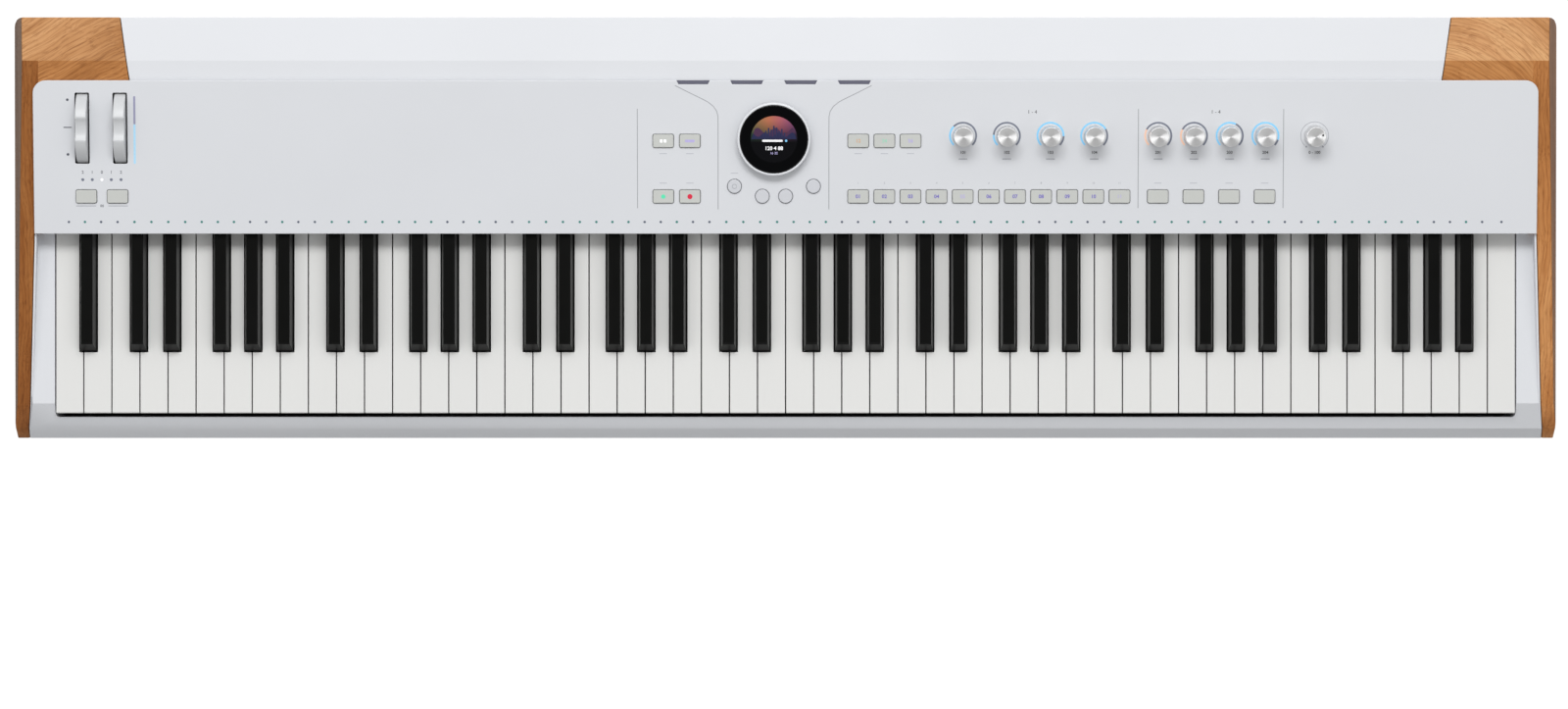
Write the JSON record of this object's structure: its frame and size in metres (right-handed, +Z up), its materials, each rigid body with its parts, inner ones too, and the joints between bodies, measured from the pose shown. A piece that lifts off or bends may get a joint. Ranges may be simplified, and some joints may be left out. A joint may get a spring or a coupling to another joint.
{
  "type": "stage keyboard",
  "caption": "Stage keyboard with piano-size keys, wooden end cheeks, a sloping panel with a round dial display, spun knobs, buttons and pitch and modulation wheels.",
  "frame": {"origin": "middle of the footprint on the surface that the feet stand on", "axes": "+X along the keys to the high notes, +Y away from the player, +Z up"},
  "size_m": [1.295, 0.352, 0.1157],
  "materials": {
    "white_shell": "fine satin",
    "panel": "satin white paint",
    "wood": "oiled",
    "dark_plastic": "fine texture",
    "zinc_steel": "zinc plated",
    "rubber": "matte",
    "board": "solder mask",
    "button_cap": "soft satin, translucent",
    "round_button": "satin",
    "spun_metal": "spun, turned lines",
    "wheel_white": "satin",
    "display_glass": "polished black cover",
    "dial_white": "satin",
    "black_key": "satin",
    "white_key": "semi-gloss"
  },
  "bodies": {
    "housing": {"bottom_tray": "dark_plastic", "control_panel": "panel", "foot_front_left": "rubber", "foot_front_right": "rubber", "foot_rear_left": "rubber", "foot_rear_right": "rubber", "jack_plate": "dark_plastic", "key_surround": "white_shell", "keybed_frame": "zinc_steel", "left_cheek": "wood", "main_board": "board", "rear_deck": "white_shell", "right_cheek": "wood", "wheel_bracket": "dark_plastic"},
    "black_keys_octave_1": {"black_keys_octave_1": "black_key"},
    "black_keys_octave_2": {"black_keys_octave_2": "black_key"},
    "black_keys_octave_3": {"black_keys_octave_3": "black_key"},
    "black_keys_octave_5": {"black_keys_octave_5": "black_key"},
    "black_keys_octave_6": {"black_keys_octave_6": "black_key"},
    "black_keys_octave_7": {"black_keys_octave_7": "black_key"},
    "dial_ring": {"dial_ring": "dial_white"},
    "display_module": {"display_module": "display_glass"},
    "effect_buttons": {"effect_buttons": "button_cap"},
    "effect_knob_1": {"effect_knob_1": "spun_metal"},
    "effect_knob_2": {"effect_knob_2": "spun_metal"},
    "effect_knob_3": {"effect_knob_3": "spun_metal"},
    "effect_knob_4": {"effect_knob_4": "spun_metal"},
    "key_a4": {"key_a4": "white_key"},
    "key_a_sharp4": {"key_a_sharp4": "black_key"},
    "key_b4": {"key_b4": "white_key"},
    "key_c4": {"key_c4": "white_key"},
    "key_c_sharp4": {"key_c_sharp4": "black_key"},
    "key_d4": {"key_d4": "white_key"},
    "key_d_sharp4": {"key_d_sharp4": "black_key"},
    "key_e4": {"key_e4": "white_key"},
    "key_f4": {"key_f4": "white_key"},
    "key_f_sharp4": {"key_f_sharp4": "black_key"},
    "key_g4": {"key_g4": "white_key"},
    "key_g_sharp4": {"key_g_sharp4": "black_key"},
    "mod_wheel": {"mod_wheel": "wheel_white"},
    "mode_buttons": {"mode_buttons": "button_cap"},
    "octave_buttons": {"octave_buttons": "button_cap"},
    "part_buttons": {"part_buttons": "button_cap"},
    "pitch_wheel": {"pitch_wheel": "wheel_white"},
    "round_button_1": {"round_button_1": "round_button"},
    "round_button_2": {"round_button_2": "round_button"},
    "round_button_3": {"round_button_3": "round_button"},
    "round_button_4": {"round_button_4": "round_button"},
    "sound_buttons": {"sound_buttons": "button_cap"},
    "sound_knob_1": {"sound_knob_1": "spun_metal"},
    "sound_knob_2": {"sound_knob_2": "spun_metal"},
    "sound_knob_3": {"sound_knob_3": "spun_metal"},
    "sound_knob_4": {"sound_knob_4": "spun_metal"},
    "volume_knob": {"volume_knob": "spun_metal"},
    "white_keys_octave_1": {"white_keys_octave_1": "white_key"},
    "white_keys_octave_2": {"white_keys_octave_2": "white_key"},
    "white_keys_octave_3": {"white_keys_octave_3": "white_key"},
    "white_keys_octave_5": {"white_keys_octave_5": "white_key"},
    "white_keys_octave_6": {"white_keys_octave_6": "white_key"},
    "white_keys_octave_7": {"white_keys_octave_7": "white_key"}
  },
  "joints": [
    {"name": "black_keys_octave_1_hinge", "type": "hinge", "parent": "housing", "child": "black_keys_octave_1", "pos_m": [-0.50114, 0.03599, 0.066], "axis": [1, 0, 0], "range_deg": [0, 3.11], "stiffness_Nm_per_rad": 3.6, "springref_deg": -10.89},
    {"name": "black_keys_octave_2_hinge", "type": "hinge", "parent": "housing", "child": "black_keys_octave_2", "pos_m": [-0.31557, 0.03599, 0.066], "axis": [1, 0, 0], "range_deg": [0, 3.11], "stiffness_Nm_per_rad": 3, "springref_deg": -10.89},
    {"name": "black_keys_octave_3_hinge", "type": "hinge", "parent": "housing", "child": "black_keys_octave_3", "pos_m": [-0.15107, 0.03599, 0.066], "axis": [1, 0, 0], "range_deg": [0, 3.11], "stiffness_Nm_per_rad": 3, "springref_deg": -10.89},
    {"name": "black_keys_octave_5_hinge", "type": "hinge", "parent": "housing", "child": "black_keys_octave_5", "pos_m": [0.17793, 0.03599, 0.066], "axis": [1, 0, 0], "range_deg": [0, 3.11], "stiffness_Nm_per_rad": 3, "springref_deg": -10.89},
    {"name": "black_keys_octave_6_hinge", "type": "hinge", "parent": "housing", "child": "black_keys_octave_6", "pos_m": [0.34243, 0.03599, 0.066], "axis": [1, 0, 0], "range_deg": [0, 3.11], "stiffness_Nm_per_rad": 3, "springref_deg": -10.89},
    {"name": "black_keys_octave_7_hinge", "type": "hinge", "parent": "housing", "child": "black_keys_octave_7", "pos_m": [0.50693, 0.03599, 0.066], "axis": [1, 0, 0], "range_deg": [0, 3.11], "stiffness_Nm_per_rad": 3, "springref_deg": -10.89},
    {"name": "key_a4_hinge", "type": "hinge", "parent": "housing", "child": "key_a4", "pos_m": [0.05875, 0.03599, 0.066], "axis": [1, 0, 0], "range_deg": [0, 3.01], "stiffness_Nm_per_rad": 1, "springref_deg": -10.89},
    {"name": "key_a_sharp4_hinge", "type": "hinge", "parent": "housing", "child": "key_a_sharp4", "pos_m": [0.07461, 0.03599, 0.066], "axis": [1, 0, 0], "range_deg": [0, 3.11], "stiffness_Nm_per_rad": 0.6, "springref_deg": -10.89},
    {"name": "key_b4_hinge", "type": "hinge", "parent": "housing", "child": "key_b4", "pos_m": [0.08225, 0.03599, 0.066], "axis": [1, 0, 0], "range_deg": [0, 3.01], "stiffness_Nm_per_rad": 1, "springref_deg": -10.89},
    {"name": "key_c4_hinge", "type": "hinge", "parent": "housing", "child": "key_c4", "pos_m": [-0.05875, 0.03599, 0.066], "axis": [1, 0, 0], "range_deg": [0, 3.01], "stiffness_Nm_per_rad": 1, "springref_deg": -10.89},
    {"name": "key_c_sharp4_hinge", "type": "hinge", "parent": "housing", "child": "key_c_sharp4", "pos_m": [-0.04775, 0.03599, 0.066], "axis": [1, 0, 0], "range_deg": [0, 3.11], "stiffness_Nm_per_rad": 0.6, "springref_deg": -10.89},
    {"name": "key_d4_hinge", "type": "hinge", "parent": "housing", "child": "key_d4", "pos_m": [-0.03525, 0.03599, 0.066], "axis": [1, 0, 0], "range_deg": [0, 3.01], "stiffness_Nm_per_rad": 1, "springref_deg": -10.89},
    {"name": "key_d_sharp4_hinge", "type": "hinge", "parent": "housing", "child": "key_d_sharp4", "pos_m": [-0.01986, 0.03599, 0.066], "axis": [1, 0, 0], "range_deg": [0, 3.11], "stiffness_Nm_per_rad": 0.6, "springref_deg": -10.89},
    {"name": "key_e4_hinge", "type": "hinge", "parent": "housing", "child": "key_e4", "pos_m": [-0.01175, 0.03599, 0.066], "axis": [1, 0, 0], "range_deg": [0, 3.01], "stiffness_Nm_per_rad": 1, "springref_deg": -10.89},
    {"name": "key_f4_hinge", "type": "hinge", "parent": "housing", "child": "key_f4", "pos_m": [0.01175, 0.03599, 0.066], "axis": [1, 0, 0], "range_deg": [0, 3.01], "stiffness_Nm_per_rad": 1, "springref_deg": -10.89},
    {"name": "key_f_sharp4_hinge", "type": "hinge", "parent": "housing", "child": "key_f_sharp4", "pos_m": [0.02162, 0.03599, 0.066], "axis": [1, 0, 0], "range_deg": [0, 3.11], "stiffness_Nm_per_rad": 0.6, "springref_deg": -10.89},
    {"name": "key_g4_hinge", "type": "hinge", "parent": "housing", "child": "key_g4", "pos_m": [0.03525, 0.03599, 0.066], "axis": [1, 0, 0], "range_deg": [0, 3.01], "stiffness_Nm_per_rad": 1, "springref_deg": -10.89},
    {"name": "key_g_sharp4_hinge", "type": "hinge", "parent": "housing", "child": "key_g_sharp4", "pos_m": [0.04794, 0.03599, 0.066], "axis": [1, 0, 0], "range_deg": [0, 3.11], "stiffness_Nm_per_rad": 0.6, "springref_deg": -10.89},
    {"name": "white_keys_octave_1_hinge", "type": "hinge", "parent": "housing", "child": "white_keys_octave_1", "pos_m": [-0.50525, 0.03599, 0.066], "axis": [1, 0, 0], "range_deg": [0, 3.01], "stiffness_Nm_per_rad": 9, "springref_deg": -10.89},
    {"name": "white_keys_octave_2_hinge", "type": "hinge", "parent": "housing", "child": "white_keys_octave_2", "pos_m": [-0.31725, 0.03599, 0.066], "axis": [1, 0, 0], "range_deg": [0, 3.01], "stiffness_Nm_per_rad": 7, "springref_deg": -10.89},
    {"name": "white_keys_octave_3_hinge", "type": "hinge", "parent": "housing", "child": "white_keys_octave_3", "pos_m": [-0.15275, 0.03599, 0.066], "axis": [1, 0, 0], "range_deg": [0, 3.01], "stiffness_Nm_per_rad": 7, "springref_deg": -10.89},
    {"name": "white_keys_octave_5_hinge", "type": "hinge", "parent": "housing", "child": "white_keys_octave_5", "pos_m": [0.17625, 0.03599, 0.066], "axis": [1, 0, 0], "range_deg": [0, 3.01], "stiffness_Nm_per_rad": 7, "springref_deg": -10.89},
    {"name": "white_keys_octave_6_hinge", "type": "hinge", "parent": "housing", "child": "white_keys_octave_6", "pos_m": [0.34075, 0.03599, 0.066], "axis": [1, 0, 0], "range_deg": [0, 3.01], "stiffness_Nm_per_rad": 7, "springref_deg": -10.89},
    {"name": "white_keys_octave_7_hinge", "type": "hinge", "parent": "housing", "child": "white_keys_octave_7", "pos_m": [0.517, 0.03599, 0.066], "axis": [1, 0, 0], "range_deg": [0, 3.01], "stiffness_Nm_per_rad": 8, "springref_deg": -10.89},
    {"name": "effect_buttons_press", "type": "slide", "parent": "housing", "child": "effect_buttons", "axis": [0, 0.0872, -0.9962], "range_m": [0, 0.0008], "stiffness_N_per_m": 1600, "springref_m": -0.001},
    {"name": "mode_buttons_press", "type": "slide", "parent": "housing", "child": "mode_buttons", "axis": [0, 0.0872, -0.9962], "range_m": [0, 0.0008], "stiffness_N_per_m": 1600, "springref_m": -0.001},
    {"name": "octave_buttons_press", "type": "slide", "parent": "housing", "child": "octave_buttons", "axis": [0, 0.0872, -0.9962], "range_m": [0, 0.0008], "stiffness_N_per_m": 800, "springref_m": -0.001},
    {"name": "part_buttons_press", "type": "slide", "parent": "housing", "child": "part_buttons", "axis": [0, 0.0872, -0.9962], "range_m": [0, 0.0008], "stiffness_N_per_m": 1200, "springref_m": -0.001},
    {"name": "sound_buttons_press", "type": "slide", "parent": "housing", "child": "sound_buttons", "axis": [0, 0.0872, -0.9962], "range_m": [0, 0.0008], "stiffness_N_per_m": 4400, "springref_m": -0.001},
    {"name": "round_button_1_press", "type": "slide", "parent": "housing", "child": "round_button_1", "axis": [0, 0.0872, -0.9962], "range_m": [0, 0.0008], "stiffness_N_per_m": 400, "springref_m": -0.001},
    {"name": "round_button_2_press", "type": "slide", "parent": "housing", "child": "round_button_2", "axis": [0, 0.0872, -0.9962], "range_m": [0, 0.0008], "stiffness_N_per_m": 400, "springref_m": -0.001},
    {"name": "round_button_3_press", "type": "slide", "parent": "housing", "child": "round_button_3", "axis": [0, 0.0872, -0.9962], "range_m": [0, 0.0008], "stiffness_N_per_m": 400, "springref_m": -0.001},
    {"name": "round_button_4_press", "type": "slide", "parent": "housing", "child": "round_button_4", "axis": [0, 0.0872, -0.9962], "range_m": [0, 0.0008], "stiffness_N_per_m": 400, "springref_m": -0.001},
    {"name": "display_press", "type": "slide", "parent": "housing", "child": "display_module", "axis": [0, 0.0872, -0.9962], "range_m": [0, 0.0006], "stiffness_N_per_m": 3000, "springref_m": -0.001},
    {"name": "dial_turn", "type": "hinge", "parent": "display_module", "child": "dial_ring", "pos_m": [-0.0097, 0.07489, 0.09892], "axis": [0, -0.0872, 0.9962], "continuous": true},
    {"name": "effect_knob_1_turn", "type": "hinge", "parent": "housing", "child": "effect_knob_1", "pos_m": [0.3103, 0.07738, 0.09914], "axis": [0, -0.0872, 0.9962], "continuous": true},
    {"name": "effect_knob_2_turn", "type": "hinge", "parent": "housing", "child": "effect_knob_2", "pos_m": [0.34005, 0.07738, 0.09914], "axis": [0, -0.0872, 0.9962], "continuous": true},
    {"name": "effect_knob_3_turn", "type": "hinge", "parent": "housing", "child": "effect_knob_3", "pos_m": [0.3698, 0.07738, 0.09914], "axis": [0, -0.0872, 0.9962], "continuous": true},
    {"name": "effect_knob_4_turn", "type": "hinge", "parent": "housing", "child": "effect_knob_4", "pos_m": [0.39955, 0.07738, 0.09914], "axis": [0, -0.0872, 0.9962], "continuous": true},
    {"name": "sound_knob_1_turn", "type": "hinge", "parent": "housing", "child": "sound_knob_1", "pos_m": [0.1478, 0.07738, 0.09914], "axis": [0, -0.0872, 0.9962], "continuous": true},
    {"name": "sound_knob_2_turn", "type": "hinge", "parent": "housing", "child": "sound_knob_2", "pos_m": [0.1842, 0.07738, 0.09914], "axis": [0, -0.0872, 0.9962], "continuous": true},
    {"name": "sound_knob_3_turn", "type": "hinge", "parent": "housing", "child": "sound_knob_3", "pos_m": [0.2206, 0.07738, 0.09914], "axis": [0, -0.0872, 0.9962], "continuous": true},
    {"name": "sound_knob_4_turn", "type": "hinge", "parent": "housing", "child": "sound_knob_4", "pos_m": [0.257, 0.07738, 0.09914], "axis": [0, -0.0872, 0.9962], "continuous": true},
    {"name": "volume_knob_turn", "type": "hinge", "parent": "housing", "child": "volume_knob", "pos_m": [0.4405, 0.07738, 0.09914], "axis": [0, -0.0872, 0.9962], "range_deg": [-60, 210]},
    {"name": "pitch_bend", "type": "hinge", "parent": "housing", "child": "pitch_wheel", "pos_m": [-0.5857, 0.08535, 0.07916], "axis": [1, 0, 0], "range_deg": [-35, 35], "stiffness_Nm_per_rad": 0.1},
    {"name": "modulation", "type": "hinge", "parent": "housing", "child": "mod_wheel", "pos_m": [-0.5541, 0.08535, 0.07916], "axis": [1, 0, 0], "range_deg": [-35, 35]}
  ]
}
